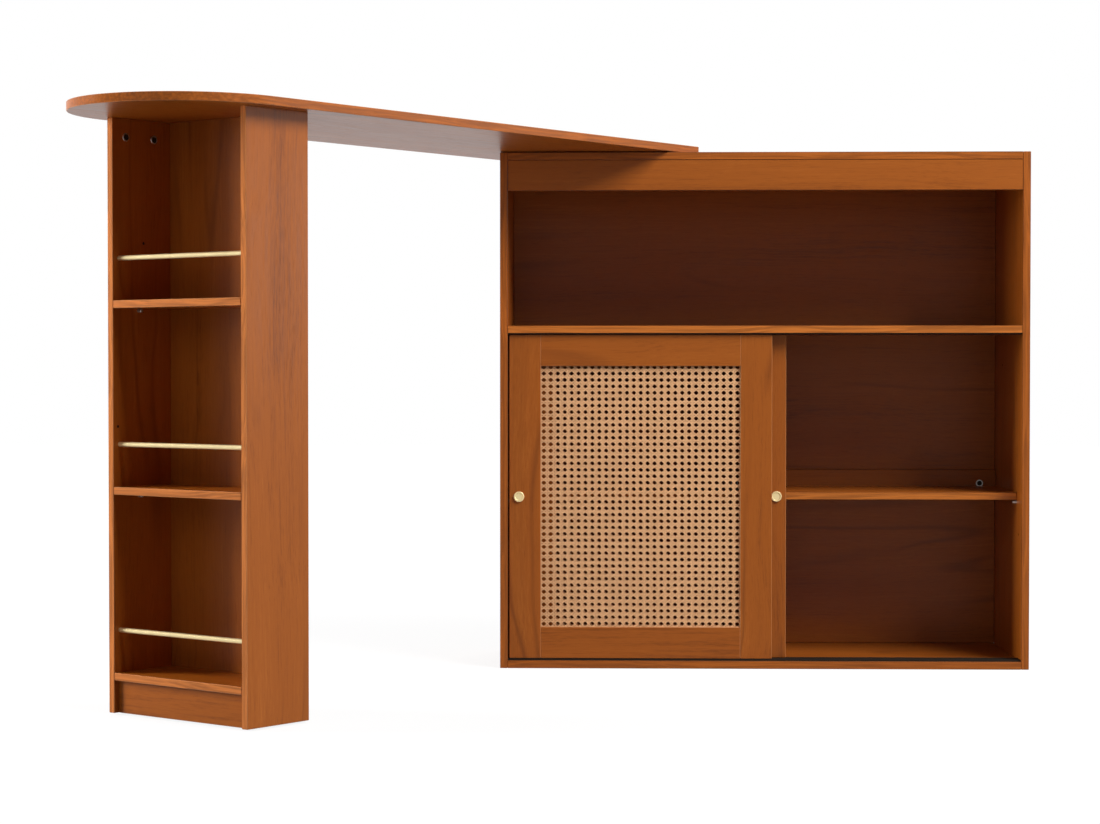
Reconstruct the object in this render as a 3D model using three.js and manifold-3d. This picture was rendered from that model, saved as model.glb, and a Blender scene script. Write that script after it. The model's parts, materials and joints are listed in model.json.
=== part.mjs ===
// Bar counter with shelves: a low cabinet with sliding cane doors, and a long bar top that
// swivels on the cabinet and is carried at its round end by an open shelf tower on rollers.
// Millimetres, +Z up. The origin is the middle of the cabinet's underside, the cabinet's front
// faces -Y, and the bar stands swung out towards the front left.

import * as THREE from "three";
import { mergeVertices } from "three/addons/utils/BufferGeometryUtils.js";
import Module from "manifold-3d";

const wasm = await Module();
wasm.setup();

// Boards and fits
const CABINET_BOARD = 15;
const EDGE_EASE = 0.8;
const HOLE_CLEARANCE = 0.3;
const UPRIGHT_GAP = 0.3;
const ROUND_SIDES = 24;

// Cabinet carcass
const CABINET_WIDTH = 1040;
const CABINET_HEIGHT = 1017;
const CABINET_DEPTH = 350;
const BACK_SHEET = 5;
const APRON_HEIGHT = 60;
const APRON_SETBACK = 0.5;
const MIDDLE_SHELF_TOP = 676.5;
const MIDDLE_SHELF_SETBACK = 0.5;
const DIVIDER_CLEARANCE = 5;
const INNER_SHELF_TOP = 346;
const INNER_SHELF_SETBACK = 8;
const INNER_SHELF_PLAY = 0.8;
const BACK_RAIL_TOP = 380;
const BACK_RAIL_HEIGHT = 56;

// Shelf pins
const PIN_DIAMETER = 5;
const PIN_DEPTH = 6;
const PIN_HEAD_DIAMETER = 8;
const PIN_HEAD_LENGTH = 8;
const PIN_INSET = 10;

// Sliding doors
const DOOR_OVERLAP = 26;
const DOOR_BOARD = 15;
const DOOR_SETBACK = 8;
const DOOR_SPACING = 7;
const DOOR_END_GAP = 3;
const REAR_DOOR_OPENED = 29;
const FRAME_WIDTH = 62;
const CANE_SHEET = 2;
const CANE_RECESS = 5;
const CANE_TUCK = 6;
const PULL_DIAMETER = 21;
const PULL_HEIGHT = 4;
const PULL_DISH = 1.2;
const PULL_RIM = 2.5;
const PULL_INSET = 19;
const PULL_SPIGOT_DIAMETER = 6;
const PULL_SPIGOT_LENGTH = 9;

// Door tracks: a strip with two grooves below the doors and a thinner one above them
const BOTTOM_TRACK_HEIGHT = 3.4;
const TOP_TRACK_HEIGHT = 2.2;
const TRACK_MARGIN = 2;
const TRACK_GROOVE_WIDTH = 5;
const TRACK_GROOVE_FLOOR = 0.8;
const TRACK_DOOR_GAP = 0.6;
const GLIDE_LENGTH = 40;
const GLIDE_PLAY = 0.4;

// Bar top and its swivel
const BAR_BOARD = 15;
const BAR_LENGTH = 1400;
const BAR_WIDTH = 400;
const BAR_ANGLE = 52.8;
const BAR_ROUND_STEPS = 48;
const SWIVEL_GAP = 2;
const SWIVEL_FROM_LEFT = 180;
const SWIVEL_FROM_FRONT = 127;
const SWIVEL_FROM_BAR_END = 90;
const BOLT_DIAMETER = 10;
const BOLT_HEAD_DIAMETER = 24;
const BOLT_HEAD_HEIGHT = 5;
const BOLT_GRIP = 9;
const INSERT_WALL = 4;
const INSERT_HEIGHT = 11;
const WASHER_WIDTH = 40;
const WASHER_GAP = 0.3;

// Shelf tower under the bar's round end
const TOWER_BOARD = 13;
const TOWER_WIDTH = 334;
const TOWER_DEPTH = 145;
const TOWER_FROM_TIP = 170;
const TOWER_FLOOR_GAP = 3;
const PLINTH_HEIGHT = 56;
const PLINTH_SETBACK = 10;
const TOWER_SHELF_PITCH = 318;
const ROD_DIAMETER = 8.5;
const ROD_SETBACK = 15;
const ROD_ABOVE_SHELF = 72.5;
const ROD_SEAT = 6;

// Rollers behind the plinth
const WHEEL_DIAMETER = 42;
const WHEEL_WIDTH = 18;
const WHEEL_EASE = 2;
const AXLE_DIAMETER = 8;
const AXLE_PROUD = 1.5;
const HOUSING_WALL = 3;
const HOUSING_PLAY = 2;
const HOUSING_LENGTH = 36;
const HOUSING_FLOOR_GAP = 10;
const ROLLER_SPREAD = 210;

// Colours and surfaces
const FINISHES = {
  wood: { color: 0x9a5524, roughness: 0.45, metalness: 0 },
  cane: { color: 0xc49a6a, roughness: 0.7, metalness: 0 },
  brass: { color: 0xd8b56a, roughness: 0.28, metalness: 1 },
  steel: { color: 0xb9bbbd, roughness: 0.35, metalness: 1 },
  blackPlastic: { color: 0x17130f, roughness: 0.5, metalness: 0 },
  greyRubber: { color: 0x4a4a4a, roughness: 0.8, metalness: 0 },
};

// Planes and sizes that follow from the values above
const halfWidth = CABINET_WIDTH / 2;
const innerHalfWidth = halfWidth - CABINET_BOARD;
const cabinetFront = -CABINET_DEPTH / 2;
const cabinetRear = CABINET_DEPTH / 2;
const backFace = cabinetRear - BACK_SHEET;
const topUnderside = CABINET_HEIGHT - CABINET_BOARD;
const middleUnderside = MIDDLE_SHELF_TOP - CABINET_BOARD;
const innerShelfUnderside = INNER_SHELF_TOP - CABINET_BOARD;
const dividerHalf = CABINET_BOARD / 2;
const railFace = backFace - CABINET_BOARD;
const frontDoorFace = cabinetFront + DOOR_SETBACK;
const rearDoorFace = frontDoorFace + DOOR_BOARD + DOOR_SPACING;
const dividerFront = rearDoorFace + DOOR_BOARD + DIVIDER_CLEARANCE;
const innerShelfFront = dividerFront + INNER_SHELF_SETBACK;
const innerShelfRear = railFace - INNER_SHELF_PLAY;
const doorWidth = innerHalfWidth + DOOR_OVERLAP / 2;
const doorBottom = CABINET_BOARD + BOTTOM_TRACK_HEIGHT + TRACK_DOOR_GAP;
const doorTop = middleUnderside - TOP_TRACK_HEIGHT - TRACK_DOOR_GAP;
const doorHeight = doorTop - doorBottom;
const barUnderside = CABINET_HEIGHT + SWIVEL_GAP;
const barTip = SWIVEL_FROM_BAR_END - BAR_LENGTH;
const towerFront = barTip + TOWER_FROM_TIP;
const towerRear = towerFront + TOWER_DEPTH;
const towerBackFace = towerRear - TOWER_BOARD;
const towerInnerHalf = TOWER_WIDTH / 2 - TOWER_BOARD;
const plinthTop = TOWER_FLOOR_GAP + PLINTH_HEIGHT;
const bottomShelfTop = plinthTop + TOWER_BOARD;

// Chamfered board of the given size, centred on the origin
function boardGeometry(size) {
  const [x, y, z] = size.map((length) => length / 2);
  const ease = Math.min(EDGE_EASE, x / 3, y / 3, z / 3);
  const outline = new THREE.Shape([
    new THREE.Vector2(-x + ease, -y),
    new THREE.Vector2(x - ease, -y),
    new THREE.Vector2(x, -y + ease),
    new THREE.Vector2(x, y - ease),
    new THREE.Vector2(x - ease, y),
    new THREE.Vector2(-x + ease, y),
    new THREE.Vector2(-x, y - ease),
    new THREE.Vector2(-x, -y + ease),
  ]);
  return easedExtrusion(outline, 2 * z, ease);
}

// Outline extruded along Z with both rims chamfered, its middle at the origin's height
function easedExtrusion(outline, height, ease, steps = 1) {
  const geometry = new THREE.ExtrudeGeometry(outline, {
    depth: height - 2 * ease,
    bevelEnabled: true,
    bevelThickness: ease,
    bevelSize: ease,
    bevelOffset: -ease,
    bevelSegments: 1,
    curveSegments: steps,
  });
  return geometry.translate(0, 0, ease - height / 2);
}

// Plain box between two corners
function boxBetween(low, high) {
  const size = high.map((value, axis) => value - low[axis]);
  const centre = high.map((value, axis) => (value + low[axis]) / 2);
  return new THREE.BoxGeometry(...size).translate(...centre);
}

// Round bar of the given diameter between two points
function roundBar(diameter, start, end) {
  const from = new THREE.Vector3(...start);
  const to = new THREE.Vector3(...end);
  const along = to.clone().sub(from);
  const bar = new THREE.CylinderGeometry(diameter / 2, diameter / 2, along.length(), ROUND_SIDES);
  const turn = new THREE.Quaternion().setFromUnitVectors(
    new THREE.Vector3(0, 1, 0),
    along.clone().normalize(),
  );
  const middle = from.add(to).multiplyScalar(0.5);
  return bar.applyQuaternion(turn).translate(middle.x, middle.y, middle.z);
}

// Profile of radius and height pairs turned about the Z axis
function turned(profile) {
  const points = profile.map(([radius, height]) => new THREE.Vector2(radius, height));
  return new THREE.LatheGeometry(points, ROUND_SIDES).rotateX(Math.PI / 2);
}

// Ring between two diameters and two heights
function ring(inner, outer, low, high) {
  const corners = [
    [inner / 2, low],
    [outer / 2, low],
    [outer / 2, high],
    [inner / 2, high],
    [inner / 2, low],
  ];
  return turned(corners);
}

function toSolid(geometry) {
  const bare = geometry.clone();
  bare.deleteAttribute("normal");
  bare.deleteAttribute("uv");
  const merged = mergeVertices(bare);
  const mesh = new wasm.Mesh({
    numProp: 3,
    vertProperties: new Float32Array(merged.attributes.position.array),
    triVerts: new Uint32Array(merged.index.array),
  });
  return new wasm.Manifold(mesh);
}

function toGeometry(solid) {
  const mesh = solid.getMesh();
  const geometry = new THREE.BufferGeometry();
  geometry.setAttribute("position", new THREE.BufferAttribute(mesh.vertProperties, 3));
  geometry.setIndex(new THREE.BufferAttribute(mesh.triVerts, 1));
  geometry.computeVertexNormals();
  return geometry;
}

// Geometry with every cutter taken out of it
function cut(geometry, cutters) {
  const solid = cutters.reduce((rest, cutter) => rest.subtract(toSolid(cutter)), toSolid(geometry));
  return toGeometry(solid);
}

function addPiece(group, name, finish, geometry, place = [0, 0, 0]) {
  const piece = new THREE.Mesh(geometry, new THREE.MeshStandardMaterial(FINISHES[finish]));
  piece.name = name;
  piece.position.set(...place);
  group.add(piece);
  return piece;
}

// Board between two corners, with cutters given in the group's frame
function addBoard(group, name, low, high, cutters = []) {
  const size = high.map((value, axis) => value - low[axis]);
  const centre = high.map((value, axis) => (value + low[axis]) / 2);
  let geometry = boardGeometry(size);
  if (cutters.length > 0) {
    const local = cutters.map((cutter) => cutter.translate(...centre.map((value) => -value)));
    geometry = cut(geometry, local);
  }
  return addPiece(group, name, "wood", geometry, centre);
}

// Places of the four pins under one inner shelf: the board they stand in and the side they face
function pinPlaces(side) {
  const outer = { label: "outer", wall: side * innerHalfWidth, facing: -side };
  const inner = { label: "inner", wall: side * dividerHalf, facing: side };
  const rows = [
    { row: "front", y: innerShelfFront + PIN_INSET },
    { row: "rear", y: innerShelfRear - PIN_INSET },
  ];
  return [outer, inner].flatMap((stand) => rows.map((row) => ({ ...stand, ...row })));
}

const pinHeight = innerShelfUnderside - PIN_HEAD_DIAMETER / 2;

function pinHole(pin) {
  const deep = pin.wall - pin.facing * (PIN_DEPTH + HOLE_CLEARANCE);
  const mouth = pin.wall + pin.facing * HOLE_CLEARANCE;
  const diameter = PIN_DIAMETER + 2 * HOLE_CLEARANCE;
  return roundBar(diameter, [deep, pin.y, pinHeight], [mouth, pin.y, pinHeight]);
}

function addShelfPins(group, label, side) {
  const shank = PIN_DIAMETER / 2;
  const head = PIN_HEAD_DIAMETER / 2;
  const profile = [
    [0, -PIN_DEPTH],
    [shank, -PIN_DEPTH],
    [shank, 0],
    [head, 0],
    [head, PIN_HEAD_LENGTH],
    [0, PIN_HEAD_LENGTH],
  ];
  for (const pin of pinPlaces(side)) {
    const name = `shelf_pin_${label}_${pin.label}_${pin.row}`;
    const piece = addPiece(group, name, "steel", turned(profile), [pin.wall, pin.y, pinHeight]);
    piece.rotation.y = (pin.facing * Math.PI) / 2;
  }
}

// Twin-groove strip that the doors run in, with its grooves open towards the doors
function trackStrip(height, open) {
  const front = frontDoorFace - TRACK_MARGIN;
  const rear = rearDoorFace + DOOR_BOARD + TRACK_MARGIN;
  const half = height / 2;
  const floor = open * (TRACK_GROOVE_FLOOR - half);
  const mouth = open * (half + 1);
  const strip = boxBetween([-innerHalfWidth, front, -half], [innerHalfWidth, rear, half]);
  const grooves = [frontDoorFace, rearDoorFace].map((face) => {
    const middle = face + DOOR_BOARD / 2;
    const low = [-halfWidth, middle - TRACK_GROOVE_WIDTH / 2, Math.min(floor, mouth)];
    const high = [halfWidth, middle + TRACK_GROOVE_WIDTH / 2, Math.max(floor, mouth)];
    return boxBetween(low, high);
  });
  return cut(strip, grooves);
}

function makeCabinet() {
  const cabinet = new THREE.Group();
  const boltHole = roundBar(
    BOLT_DIAMETER + 2 * HOLE_CLEARANCE,
    [swivel.x, swivel.y, topUnderside - 1],
    [swivel.x, swivel.y, CABINET_HEIGHT + 1],
  );
  for (const [label, side] of [["left", -1], ["right", 1]]) {
    const outer = side * halfWidth;
    const inner = side * innerHalfWidth;
    const pins = pinPlaces(side);
    const outerHoles = pins.filter((pin) => pin.label === "outer").map(pinHole);
    addBoard(
      cabinet,
      `cabinet_${label}_side`,
      [Math.min(outer, inner), cabinetFront, 0],
      [Math.max(outer, inner), cabinetRear, CABINET_HEIGHT],
      outerHoles,
    );
    const near = side * dividerHalf;
    addBoard(
      cabinet,
      `${label}_back_rail`,
      [Math.min(near, inner), railFace, BACK_RAIL_TOP - BACK_RAIL_HEIGHT],
      [Math.max(near, inner), backFace, BACK_RAIL_TOP],
    );
    const shelfNear = near + side * INNER_SHELF_PLAY;
    const shelfFar = inner - side * INNER_SHELF_PLAY;
    addBoard(
      cabinet,
      `${label}_inner_shelf`,
      [Math.min(shelfNear, shelfFar), innerShelfFront, innerShelfUnderside],
      [Math.max(shelfNear, shelfFar), innerShelfRear, INNER_SHELF_TOP],
    );
    addShelfPins(cabinet, label, side);
  }
  addBoard(
    cabinet,
    "cabinet_top",
    [-innerHalfWidth, cabinetFront, topUnderside],
    [innerHalfWidth, cabinetRear, CABINET_HEIGHT],
    [boltHole],
  );
  addBoard(
    cabinet,
    "cabinet_bottom",
    [-innerHalfWidth, cabinetFront, 0],
    [innerHalfWidth, cabinetRear, CABINET_BOARD],
  );
  addBoard(
    cabinet,
    "cabinet_back",
    [-innerHalfWidth, backFace, CABINET_BOARD],
    [innerHalfWidth, cabinetRear, topUnderside],
  );
  const apronFront = cabinetFront + APRON_SETBACK;
  addBoard(
    cabinet,
    "cabinet_apron",
    [-innerHalfWidth, apronFront, topUnderside - APRON_HEIGHT],
    [innerHalfWidth, apronFront + CABINET_BOARD, topUnderside],
  );
  addBoard(
    cabinet,
    "middle_shelf",
    [-innerHalfWidth, cabinetFront + MIDDLE_SHELF_SETBACK, middleUnderside],
    [innerHalfWidth, backFace, MIDDLE_SHELF_TOP],
  );
  const dividerHoles = [-1, 1]
    .flatMap((side) => pinPlaces(side))
    .filter((pin) => pin.label === "inner")
    .map(pinHole);
  addBoard(
    cabinet,
    "centre_divider",
    [-dividerHalf, dividerFront, CABINET_BOARD],
    [dividerHalf, backFace, middleUnderside],
    dividerHoles,
  );
  addPiece(
    cabinet,
    "bottom_track",
    "blackPlastic",
    trackStrip(BOTTOM_TRACK_HEIGHT, 1),
    [0, 0, CABINET_BOARD + BOTTOM_TRACK_HEIGHT / 2],
  );
  addPiece(
    cabinet,
    "top_track",
    "blackPlastic",
    trackStrip(TOP_TRACK_HEIGHT, -1),
    [0, 0, middleUnderside - TOP_TRACK_HEIGHT / 2],
  );
  return cabinet;
}

// Flat button with a dished face and a spigot, turned about Y with its face towards -Y
function pullGeometry() {
  const outer = PULL_DIAMETER / 2;
  const spigot = PULL_SPIGOT_DIAMETER / 2;
  const dish = PULL_HEIGHT - PULL_DISH;
  const profile = [
    [0, -PULL_SPIGOT_LENGTH],
    [spigot, -PULL_SPIGOT_LENGTH],
    [spigot, 0],
    [outer, 0],
    [outer, PULL_HEIGHT - EDGE_EASE],
    [outer - EDGE_EASE, PULL_HEIGHT],
    [outer - PULL_RIM, PULL_HEIGHT],
    [outer - PULL_RIM - PULL_DISH, dish],
    [0, dish],
  ];
  return turned(profile).rotateX(Math.PI / 2);
}

// How far a door's tongue reaches into the groove of a track of the given height
function tongueHeight(trackHeight) {
  return TRACK_DOOR_GAP + trackHeight - TRACK_GROOVE_FLOOR - GLIDE_PLAY;
}

// Flat tongue with round ends that runs in a track groove
function glideGeometry(length, height) {
  const radius = TRACK_GROOVE_WIDTH / 2 - GLIDE_PLAY;
  const straight = length / 2 - radius;
  const outline = new THREE.Shape();
  outline.absarc(straight, 0, radius, -Math.PI / 2, Math.PI / 2);
  outline.absarc(-straight, 0, radius, Math.PI / 2, (3 * Math.PI) / 2);
  const glide = new THREE.ExtrudeGeometry(outline, {
    depth: height,
    bevelEnabled: false,
    curveSegments: ROUND_SIDES / 4,
  });
  return glide.translate(0, 0, -height / 2);
}

// Framed cane door in its own frame: left bottom corner of its front face at the origin
function makeDoor(label, pullSide) {
  const door = new THREE.Group();
  const opening = doorWidth - 2 * FRAME_WIDTH;
  const caneMiddle = CANE_RECESS + CANE_SHEET / 2;
  const slotHalf = CANE_SHEET / 2 + HOLE_CLEARANCE;
  const slotReach = CANE_TUCK + HOLE_CLEARANCE;
  const pullX = pullSide < 0 ? PULL_INSET : doorWidth - PULL_INSET;
  const pullZ = doorHeight / 2;
  const pullHole = roundBar(
    PULL_SPIGOT_DIAMETER + 2 * HOLE_CLEARANCE,
    [pullX, -1, pullZ],
    [pullX, PULL_SPIGOT_LENGTH + HOLE_CLEARANCE, pullZ],
  );
  const caneSlot = boxBetween(
    [FRAME_WIDTH - slotReach, caneMiddle - slotHalf, FRAME_WIDTH - slotReach],
    [FRAME_WIDTH + opening + slotReach, caneMiddle + slotHalf, doorHeight - FRAME_WIDTH + slotReach],
  );
  const stiles = [
    { side: "left", low: 0, pulled: pullSide < 0 },
    { side: "right", low: FRAME_WIDTH + opening, pulled: pullSide > 0 },
  ];
  for (const { side, low, pulled } of stiles) {
    const cutters = pulled ? [caneSlot.clone(), pullHole] : [caneSlot.clone()];
    addBoard(
      door,
      `${label}_${side}_stile`,
      [low, 0, 0],
      [low + FRAME_WIDTH, DOOR_BOARD, doorHeight],
      cutters,
    );
  }
  for (const [side, low] of [["bottom", 0], ["top", doorHeight - FRAME_WIDTH]]) {
    addBoard(
      door,
      `${label}_${side}_rail`,
      [FRAME_WIDTH, 0, low],
      [FRAME_WIDTH + opening, DOOR_BOARD, low + FRAME_WIDTH],
      [caneSlot.clone()],
    );
  }
  const caneWidth = opening + 2 * CANE_TUCK;
  const caneHeight = doorHeight - 2 * FRAME_WIDTH + 2 * CANE_TUCK;
  addPiece(
    door,
    `${label}_cane`,
    "cane",
    new THREE.BoxGeometry(caneWidth, CANE_SHEET, caneHeight),
    [doorWidth / 2, caneMiddle, doorHeight / 2],
  );
  addPiece(door, `${label}_pull`, "brass", pullGeometry(), [pullX, 0, pullZ]);
  const lowTongue = tongueHeight(BOTTOM_TRACK_HEIGHT);
  const highTongue = tongueHeight(TOP_TRACK_HEIGHT);
  for (const [side, x] of [["left", FRAME_WIDTH / 2], ["right", doorWidth - FRAME_WIDTH / 2]]) {
    addPiece(
      door,
      `${label}_${side}_glide`,
      "blackPlastic",
      glideGeometry(GLIDE_LENGTH, lowTongue),
      [x, DOOR_BOARD / 2, -lowTongue / 2],
    );
  }
  addPiece(
    door,
    `${label}_top_guide`,
    "blackPlastic",
    glideGeometry(doorWidth - GLIDE_LENGTH, highTongue),
    [doorWidth / 2, DOOR_BOARD / 2, doorHeight + highTongue / 2],
  );
  return door;
}

// Bolt under the cabinet top and the washer that the bar turns on
function addSwivelSeat(group) {
  const head = BOLT_HEAD_DIAMETER / 2;
  const shank = BOLT_DIAMETER / 2;
  const tip = CABINET_BOARD + SWIVEL_GAP + BOLT_GRIP;
  const bolt = [
    [0, -BOLT_HEAD_HEIGHT],
    [head - EDGE_EASE, -BOLT_HEAD_HEIGHT],
    [head, EDGE_EASE - BOLT_HEAD_HEIGHT],
    [head, 0],
    [shank, 0],
    [shank, tip - EDGE_EASE],
    [shank - EDGE_EASE, tip],
    [0, tip],
  ];
  addPiece(group, "swivel_bolt", "steel", turned(bolt), [swivel.x, swivel.y, topUnderside]);
  const bore = BOLT_DIAMETER + 2 * HOLE_CLEARANCE;
  const washer = ring(bore, bore + 2 * WASHER_WIDTH, 0, SWIVEL_GAP - WASHER_GAP);
  addPiece(group, "swivel_washer", "blackPlastic", washer, [swivel.x, swivel.y, CABINET_HEIGHT]);
}

// Bar top in the bar's own frame: the swivel axis is the origin and the tower lies along -X
function addBarTop(bar) {
  const half = BAR_WIDTH / 2;
  const end = SWIVEL_FROM_BAR_END;
  const outline = new THREE.Shape();
  outline.moveTo(end - EDGE_EASE, half);
  outline.absarc(barTip + half, 0, half, Math.PI / 2, (3 * Math.PI) / 2);
  outline.lineTo(end - EDGE_EASE, -half);
  outline.lineTo(end, -half + EDGE_EASE);
  outline.lineTo(end, half - EDGE_EASE);
  const middle = barUnderside + BAR_BOARD / 2;
  const slab = easedExtrusion(outline, BAR_BOARD, EDGE_EASE, BAR_ROUND_STEPS);
  const bore = BOLT_DIAMETER + 2 * HOLE_CLEARANCE;
  const sleeve = bore + 2 * INSERT_WALL;
  const pocket = roundBar(
    sleeve + 2 * HOLE_CLEARANCE,
    [0, 0, -BAR_BOARD / 2 - 1],
    [0, 0, -BAR_BOARD / 2 + INSERT_HEIGHT + HOLE_CLEARANCE],
  );
  addPiece(bar, "bar_top", "wood", cut(slab, [pocket]), [0, 0, middle]);
  addPiece(bar, "swivel_insert", "steel", ring(bore, sleeve, 0, INSERT_HEIGHT), [0, 0, barUnderside]);
}

function addTower(bar) {
  const inner = towerInnerHalf - UPRIGHT_GAP;
  const outer = TOWER_WIDTH / 2;
  const rodX = towerFront + ROD_SETBACK;
  const shelves = [
    { name: "tower_bottom_shelf", rod: "guard_rod_lower", top: bottomShelfTop },
    { name: "tower_lower_shelf", rod: "guard_rod_middle", top: bottomShelfTop + TOWER_SHELF_PITCH },
    { name: "tower_upper_shelf", rod: "guard_rod_upper", top: bottomShelfTop + 2 * TOWER_SHELF_PITCH },
  ];
  const rodEnd = towerInnerHalf + ROD_SEAT;
  for (const [label, side] of [["left", 1], ["right", -1]]) {
    const holes = shelves.map(({ top }) => {
      const z = top + ROD_ABOVE_SHELF;
      const deep = side * (rodEnd + HOLE_CLEARANCE);
      const mouth = side * (towerInnerHalf - 1);
      return roundBar(ROD_DIAMETER + 2 * HOLE_CLEARANCE, [rodX, mouth, z], [rodX, deep, z]);
    });
    const faces = [side * towerInnerHalf, side * outer];
    addBoard(
      bar,
      `tower_${label}_side`,
      [towerFront, Math.min(...faces), TOWER_FLOOR_GAP],
      [towerRear, Math.max(...faces), barUnderside],
      holes,
    );
  }
  addBoard(bar, "tower_back", [towerBackFace, -inner, TOWER_FLOOR_GAP], [towerRear, inner, barUnderside]);
  const shelfRear = towerBackFace - UPRIGHT_GAP;
  for (const { name, rod, top } of shelves) {
    addBoard(bar, name, [towerFront, -inner, top - TOWER_BOARD], [shelfRear, inner, top]);
    const z = top + ROD_ABOVE_SHELF;
    const rodBar = roundBar(ROD_DIAMETER, [0, -rodEnd, 0], [0, rodEnd, 0]);
    addPiece(bar, rod, "brass", rodBar, [rodX, 0, z]);
  }
  const plinthFront = towerFront + PLINTH_SETBACK;
  addBoard(
    bar,
    "tower_plinth",
    [plinthFront, -inner, TOWER_FLOOR_GAP],
    [plinthFront + TOWER_BOARD, inner, plinthTop],
  );
}

// Fixed roller whose axle points at the swivel, in its own frame: the floor point is the origin
function makeRoller(label) {
  const roller = new THREE.Group();
  const axleHeight = WHEEL_DIAMETER / 2;
  const inside = WHEEL_WIDTH / 2 + HOUSING_PLAY;
  const outside = inside + HOUSING_WALL;
  const half = HOUSING_LENGTH / 2;
  const block = boxBetween([-outside, -half, HOUSING_FLOOR_GAP], [outside, half, plinthTop]);
  const room = boxBetween(
    [-inside, -half - 1, HOUSING_FLOOR_GAP - 1],
    [inside, half + 1, plinthTop - HOUSING_WALL],
  );
  const bore = AXLE_DIAMETER + 2 * HOLE_CLEARANCE;
  const axleHole = roundBar(bore, [-outside - 1, 0, axleHeight], [outside + 1, 0, axleHeight]);
  addPiece(roller, `${label}_roller_housing`, "steel", cut(block, [room, axleHole]));
  const axleEnd = outside + AXLE_PROUD;
  const axle = roundBar(AXLE_DIAMETER, [-axleEnd, 0, 0], [axleEnd, 0, 0]);
  addPiece(roller, `${label}_roller_axle`, "steel", axle, [0, 0, axleHeight]);
  const rim = WHEEL_DIAMETER / 2;
  const side = WHEEL_WIDTH / 2;
  const profile = [
    [bore / 2, -side],
    [rim - WHEEL_EASE, -side],
    [rim, WHEEL_EASE - side],
    [rim, side - WHEEL_EASE],
    [rim - WHEEL_EASE, side],
    [bore / 2, side],
    [bore / 2, -side],
  ];
  const wheel = turned(profile).rotateY(Math.PI / 2);
  addPiece(roller, `${label}_roller_wheel`, "greyRubber", wheel, [0, 0, axleHeight]);
  return roller;
}

const swivel = { x: -halfWidth + SWIVEL_FROM_LEFT, y: cabinetFront + SWIVEL_FROM_FRONT };

const counter = new THREE.Group();
counter.add(makeCabinet());
addSwivelSeat(counter);

const doorLeft = DOOR_END_GAP - innerHalfWidth;
const frontDoor = makeDoor("front_door", -1);
frontDoor.position.set(doorLeft, frontDoorFace, doorBottom);
counter.add(frontDoor);

const rearDoor = makeDoor("rear_door", 1);
rearDoor.position.set(doorLeft + REAR_DOOR_OPENED, rearDoorFace, doorBottom);
counter.add(rearDoor);

const bar = new THREE.Group();
bar.position.set(swivel.x, swivel.y, 0);
bar.rotation.z = THREE.MathUtils.degToRad(BAR_ANGLE);
addBarTop(bar);
addTower(bar);
const rollerX = (towerFront + PLINTH_SETBACK + TOWER_BOARD + towerBackFace) / 2;
for (const [label, side] of [["left", 1], ["right", -1]]) {
  const roller = makeRoller(label);
  const rollerY = (side * ROLLER_SPREAD) / 2;
  roller.position.set(rollerX, rollerY, 0);
  roller.rotation.z = Math.atan2(-rollerY, -rollerX);
  bar.add(roller);
}
counter.add(bar);

export default counter;
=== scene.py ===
import json
import math
import random

import bpy
from mathutils import Matrix, Vector


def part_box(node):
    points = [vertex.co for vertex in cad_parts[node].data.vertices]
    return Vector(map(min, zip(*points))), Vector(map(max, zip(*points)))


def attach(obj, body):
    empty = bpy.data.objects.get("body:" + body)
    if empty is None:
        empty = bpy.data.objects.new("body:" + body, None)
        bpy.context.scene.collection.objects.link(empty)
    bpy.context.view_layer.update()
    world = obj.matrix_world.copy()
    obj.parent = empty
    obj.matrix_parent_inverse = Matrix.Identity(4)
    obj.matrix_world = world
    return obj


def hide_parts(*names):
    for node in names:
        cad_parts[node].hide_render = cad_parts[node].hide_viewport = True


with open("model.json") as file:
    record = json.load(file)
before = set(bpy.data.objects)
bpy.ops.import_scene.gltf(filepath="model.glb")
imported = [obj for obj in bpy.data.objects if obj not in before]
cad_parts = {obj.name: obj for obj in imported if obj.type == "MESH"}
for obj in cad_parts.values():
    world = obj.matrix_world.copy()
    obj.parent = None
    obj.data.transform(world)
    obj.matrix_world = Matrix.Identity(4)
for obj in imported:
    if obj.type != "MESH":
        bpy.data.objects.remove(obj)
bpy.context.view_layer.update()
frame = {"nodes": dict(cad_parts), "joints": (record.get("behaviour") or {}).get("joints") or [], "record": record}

bl_info = {
    "name": "Bar Counter Looks",
    "version": (1, 0, 0),
    "blender": (4, 5, 0),
    "location": "View3D > Sidebar > Counter",
    "description": "Finishes, cane weave, fittings and stage for a swivelling bar counter",
    "category": "Object",
}

# Grain direction and thin direction of every board, in its body's own axes
BOARDS = {
    "cabinet_left_side": ("Z", "X"),
    "cabinet_right_side": ("Z", "X"),
    "centre_divider": ("Z", "X"),
    "cabinet_top": ("X", "Z"),
    "cabinet_bottom": ("X", "Z"),
    "middle_shelf": ("X", "Z"),
    "left_inner_shelf": ("X", "Z"),
    "right_inner_shelf": ("X", "Z"),
    "cabinet_back": ("X", "Y"),
    "cabinet_apron": ("X", "Y"),
    "left_back_rail": ("X", "Y"),
    "right_back_rail": ("X", "Y"),
    "bar_top": ("X", "Z"),
    "tower_left_side": ("Z", "Y"),
    "tower_right_side": ("Z", "Y"),
    "tower_back": ("Z", "X"),
    "tower_bottom_shelf": ("Y", "Z"),
    "tower_lower_shelf": ("Y", "Z"),
    "tower_upper_shelf": ("Y", "Z"),
    "tower_plinth": ("Y", "X"),
}
for door in ("front_door", "rear_door"):
    for stile in ("left_stile", "right_stile"):
        BOARDS[f"{door}_{stile}"] = ("Z", "Y")
    for rail in ("top_rail", "bottom_rail"):
        BOARDS[f"{door}_{rail}"] = ("X", "Y")

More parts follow.
